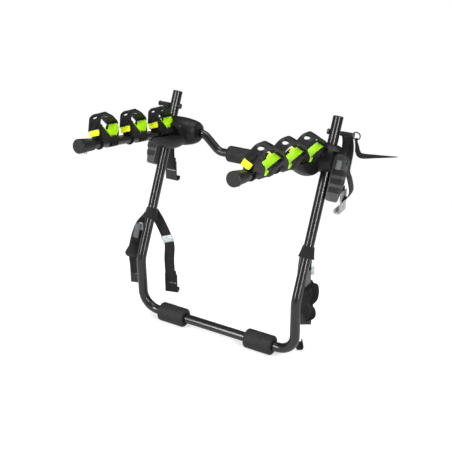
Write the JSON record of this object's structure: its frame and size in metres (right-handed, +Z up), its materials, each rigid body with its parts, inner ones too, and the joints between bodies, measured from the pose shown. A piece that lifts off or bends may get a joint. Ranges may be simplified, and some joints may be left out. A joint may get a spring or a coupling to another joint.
{
  "type": "trunk mounted bike rack",
  "caption": "Strap-on trunk bike rack: bent tube frame with foam pads, folding arms in clamp hubs with levers, lined cradles with ladder straps, webbing with hooks.",
  "frame": {"origin": "middle of the lower bar's axis, between the two foam pads", "axes": "+X along the bars to the rack's right arm side as seen facing +Y, +Y towards the car, +Z up"},
  "size_m": [0.6067, 0.4125, 0.541],
  "materials": {
    "tube_black": "gloss black powder coat",
    "foam_black": "matte closed-cell foam",
    "plug_black": "matte",
    "cap_black": "satin",
    "screw_steel": "satin",
    "hub_black": "fine moulded texture",
    "bolt_steel": "satin",
    "hardware_black": "satin",
    "lever_grey": "satin",
    "grip_black": "matte",
    "web_black": "woven",
    "hook_black": "vinyl dipped",
    "hook_grey": "coated",
    "buckle_grey": "satin",
    "label_blank": "smooth",
    "cradle_black": "satin",
    "liner_green": "soft satin",
    "strap_black": "satin",
    "tab_yellow": "soft satin"
  },
  "bodies": {
    "frame": {"lower_frame": "tube_black", "bumper_pad_left": "foam_black", "bumper_pad_right": "foam_black", "upright_plugs": "plug_black", "anchor_ring_right": "hardware_black", "strap_buckles": "buckle_grey", "strap_labels": "label_blank", "web_side_right": "web_black", "hub_clamp_left": "hub_black", "clamp_bolt_left": "bolt_steel", "anchor_bolt_left": "hardware_black", "web_lower_left": "web_black", "web_top_left": "web_black", "strap_hook_inner_left": "hook_black", "strap_hook_outer_left": "hook_black", "strap_hook_top_left": "hook_black", "hub_clamp_right": "hub_black", "clamp_bolt_right": "bolt_steel", "anchor_bolt_right": "hardware_black", "web_lower_right": "web_black", "web_top_right": "web_black", "strap_hook_inner_right": "hook_black", "strap_hook_outer_right": "hook_black", "strap_hook_top_right": "hook_grey"},
    "arms": {"upper_frame": "tube_black", "arm_caps": "cap_black", "arm_cap_screws": "screw_steel", "trunk_pad_center": "foam_black", "hub_shell_left": "hub_black", "hub_shell_right": "hub_black", "cradle_body_left_1": "cradle_black", "cradle_body_left_2": "cradle_black", "cradle_body_left_3": "cradle_black", "cradle_body_right_1": "cradle_black", "cradle_body_right_2": "cradle_black", "cradle_body_right_3": "cradle_black", "cradle_liner_left_1": "liner_green", "cradle_liner_left_2": "liner_green", "cradle_liner_left_3": "liner_green", "cradle_liner_right_1": "liner_green", "cradle_liner_right_2": "liner_green", "cradle_liner_right_3": "liner_green"},
    "lever_left": {"release_lever_left": "lever_grey", "lever_grips_left": "grip_black"},
    "strap_left_1": {"cradle_strap_left_1": "strap_black", "cradle_tab_left_1": "tab_yellow"},
    "strap_left_2": {"cradle_strap_left_2": "strap_black", "cradle_tab_left_2": "tab_yellow"},
    "strap_left_3": {"cradle_strap_left_3": "strap_black", "cradle_tab_left_3": "tab_yellow"},
    "lever_right": {"release_lever_right": "lever_grey", "lever_grips_right": "grip_black"},
    "strap_right_1": {"cradle_strap_right_1": "strap_black", "cradle_tab_right_1": "tab_yellow"},
    "strap_right_2": {"cradle_strap_right_2": "strap_black", "cradle_tab_right_2": "tab_yellow"},
    "strap_right_3": {"cradle_strap_right_3": "strap_black", "cradle_tab_right_3": "tab_yellow"}
  },
  "joints": [
    {"name": "arms_fold", "type": "hinge", "parent": "frame", "child": "arms", "pos_m": [0, 0.13298, 0.40766], "axis": [1, 0, 0], "range_deg": [-15, 60]},
    {"name": "lever_left_open", "type": "hinge", "parent": "frame", "child": "lever_left", "pos_m": [-0.2285, 0.13298, 0.40766], "axis": [0, 0.8996, -0.4368], "range_deg": [0, 90]},
    {"name": "strap_left_1_lift", "type": "hinge", "parent": "arms", "child": "strap_left_1", "pos_m": [-0.18939, -0.09088, 0.47501], "axis": [-0.9192, -0.2674, -0.2892], "range_deg": [0, 45]},
    {"name": "strap_left_2_lift", "type": "hinge", "parent": "arms", "child": "strap_left_2", "pos_m": [-0.18939, 0.0083, 0.45591], "axis": [-0.9192, -0.2674, -0.2892], "range_deg": [0, 45]},
    {"name": "strap_left_3_lift", "type": "hinge", "parent": "arms", "child": "strap_left_3", "pos_m": [-0.18939, 0.10748, 0.43681], "axis": [-0.9192, -0.2674, -0.2892], "range_deg": [0, 30]},
    {"name": "lever_right_open", "type": "hinge", "parent": "frame", "child": "lever_right", "pos_m": [0.2285, 0.13298, 0.40766], "axis": [0, -0.8996, 0.4368], "range_deg": [0, 90]},
    {"name": "strap_right_1_lift", "type": "hinge", "parent": "arms", "child": "strap_right_1", "pos_m": [0.18939, -0.09088, 0.47501], "axis": [-0.9192, 0.2674, 0.2892], "range_deg": [0, 45]},
    {"name": "strap_right_2_lift", "type": "hinge", "parent": "arms", "child": "strap_right_2", "pos_m": [0.18939, 0.0083, 0.45591], "axis": [-0.9192, 0.2674, 0.2892], "range_deg": [0, 45]},
    {"name": "strap_right_3_lift", "type": "hinge", "parent": "arms", "child": "strap_right_3", "pos_m": [0.18939, 0.10748, 0.43681], "axis": [-0.9192, 0.2674, 0.2892], "range_deg": [0, 30]}
  ]
}
